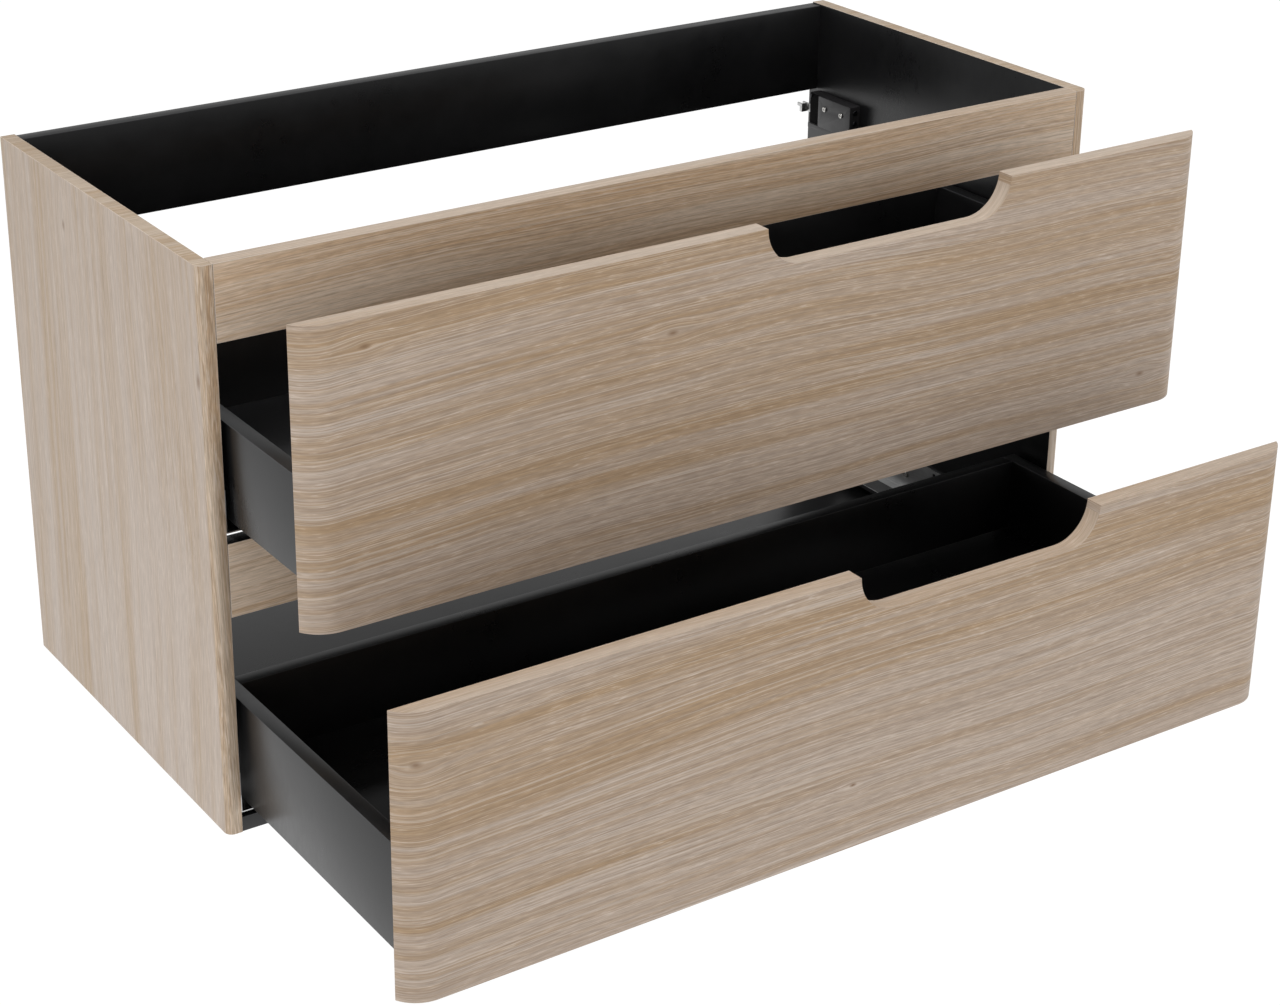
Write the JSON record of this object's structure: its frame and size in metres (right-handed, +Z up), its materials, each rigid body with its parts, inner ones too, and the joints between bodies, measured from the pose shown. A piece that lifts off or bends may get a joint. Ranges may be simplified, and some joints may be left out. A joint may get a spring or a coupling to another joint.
{
  "type": "bathroom vanity cabinet",
  "caption": "Wall-hung bathroom vanity cabinet in light wood decor with a black inside and two full-extension drawers opened by finger cut-outs.",
  "frame": {"origin": "middle of the back rail's rear face, which lies flat on the wall", "axes": "+X to the right seen from the front, +Y back into the wall, +Z up; the drawers open along -Y"},
  "size_m": [1, 0.7695, 0.554],
  "materials": {
    "wood_decor": "light greige oak decor with a fine matt pore structure",
    "black_melamine": "satin black melamine-faced board",
    "zinc_steel": "bright zinc-plated sheet steel",
    "screw_steel": "zinc-plated screws",
    "black_plastic": "black moulded plastic with a fine matt texture",
    "grey_plastic": "grey moulded plastic",
    "clear_rubber": "pale soft door bumper"
  },
  "bodies": {
    "cabinet": {"left_side_panel": "wood_decor", "right_side_panel": "wood_decor", "bottom_panel": "black_melamine", "back_rail": "black_melamine", "front_rail": "wood_decor", "middle_rail": "wood_decor", "upper_left_cabinet_runner": "zinc_steel", "upper_left_runner_screw_1": "screw_steel", "upper_left_runner_screw_2": "screw_steel", "upper_right_cabinet_runner": "zinc_steel", "upper_right_runner_screw_1": "screw_steel", "upper_right_runner_screw_2": "screw_steel", "lower_left_cabinet_runner": "zinc_steel", "lower_left_runner_screw_1": "screw_steel", "lower_left_runner_screw_2": "screw_steel", "lower_right_cabinet_runner": "zinc_steel", "lower_right_runner_screw_1": "screw_steel", "lower_right_runner_screw_2": "screw_steel", "left_hanger_housing": "black_plastic", "left_hanger_screw_1": "screw_steel", "left_hanger_screw_2": "screw_steel", "left_hanger_depth_adjuster": "screw_steel", "left_hanger_height_adjuster": "screw_steel", "right_hanger_housing": "black_plastic", "right_hanger_screw_1": "screw_steel", "right_hanger_screw_2": "screw_steel", "right_hanger_depth_adjuster": "screw_steel", "right_hanger_height_adjuster": "screw_steel"},
    "upper_left_lever": {"upper_left_release_lever": "grey_plastic"},
    "upper_right_lever": {"upper_right_release_lever": "grey_plastic"},
    "upper_drawer": {"upper_drawer_front": "wood_decor", "upper_drawer_bottom": "black_melamine", "upper_drawer_back": "black_melamine", "upper_drawer_left_side": "black_melamine", "upper_left_bumper": "clear_rubber", "upper_left_drawer_runner": "zinc_steel", "upper_left_lock_clip": "grey_plastic", "upper_drawer_right_side": "black_melamine", "upper_right_bumper": "clear_rubber", "upper_right_drawer_runner": "zinc_steel", "upper_right_lock_clip": "grey_plastic"},
    "upper_runner_middles": {"upper_left_middle_runner": "zinc_steel", "upper_right_middle_runner": "zinc_steel"},
    "lower_left_lever": {"lower_left_release_lever": "grey_plastic"},
    "lower_right_lever": {"lower_right_release_lever": "grey_plastic"},
    "lower_drawer": {"lower_drawer_front": "wood_decor", "lower_drawer_bottom": "black_melamine", "lower_drawer_back": "black_melamine", "lower_drawer_left_side": "black_melamine", "lower_left_bumper": "clear_rubber", "lower_left_drawer_runner": "zinc_steel", "lower_left_lock_clip": "grey_plastic", "lower_drawer_right_side": "black_melamine", "lower_right_bumper": "clear_rubber", "lower_right_drawer_runner": "zinc_steel", "lower_right_lock_clip": "grey_plastic"},
    "lower_runner_middles": {"lower_left_middle_runner": "zinc_steel", "lower_right_middle_runner": "zinc_steel"},
    "left_hook": {"left_hanger_hook": "zinc_steel"},
    "right_hook": {"right_hanger_hook": "zinc_steel"}
  },
  "joints": [
    {"name": "upper_drawer_slide", "type": "slide", "parent": "cabinet", "child": "upper_drawer", "axis": [0, -1, 0], "range_m": [-0.15, 0.2]},
    {"name": "upper_runner_slide", "type": "slide", "parent": "cabinet", "child": "upper_runner_middles", "axis": [0, -1, 0], "range_m": [-0.075, 0.1]},
    {"name": "lower_drawer_slide", "type": "slide", "parent": "cabinet", "child": "lower_drawer", "axis": [0, -1, 0], "range_m": [-0.3, 0.05]},
    {"name": "lower_runner_slide", "type": "slide", "parent": "cabinet", "child": "lower_runner_middles", "axis": [0, -1, 0], "range_m": [-0.15, 0.025]},
    {"name": "upper_left_lever_hinge", "type": "hinge", "parent": "upper_drawer", "child": "upper_left_lever", "pos_m": [-0.435, -0.5525, -0.1887], "axis": [0, 0, 1], "range_deg": [0, 12], "stiffness_Nm_per_rad": 0.05},
    {"name": "upper_right_lever_hinge", "type": "hinge", "parent": "upper_drawer", "child": "upper_right_lever", "pos_m": [0.435, -0.5525, -0.1887], "axis": [0, 0, -1], "range_deg": [0, 12], "stiffness_Nm_per_rad": 0.05},
    {"name": "lower_left_lever_hinge", "type": "hinge", "parent": "lower_drawer", "child": "lower_left_lever", "pos_m": [-0.435, -0.7025, -0.4717], "axis": [0, 0, 1], "range_deg": [0, 12], "stiffness_Nm_per_rad": 0.05},
    {"name": "lower_right_lever_hinge", "type": "hinge", "parent": "lower_drawer", "child": "lower_right_lever", "pos_m": [0.435, -0.7025, -0.4717], "axis": [0, 0, -1], "range_deg": [0, 12], "stiffness_Nm_per_rad": 0.05},
    {"name": "left_hook_height", "type": "slide", "parent": "cabinet", "child": "left_hook", "axis": [0, 0, 1], "range_m": [-0.006, 0.006]},
    {"name": "right_hook_height", "type": "slide", "parent": "cabinet", "child": "right_hook", "axis": [0, 0, 1], "range_m": [-0.006, 0.006]}
  ],
  "couplings": [
    {"joint": "upper_runner_slide", "follows": "upper_drawer_slide", "ratio": 0.5},
    {"joint": "lower_runner_slide", "follows": "lower_drawer_slide", "ratio": 0.5}
  ]
}
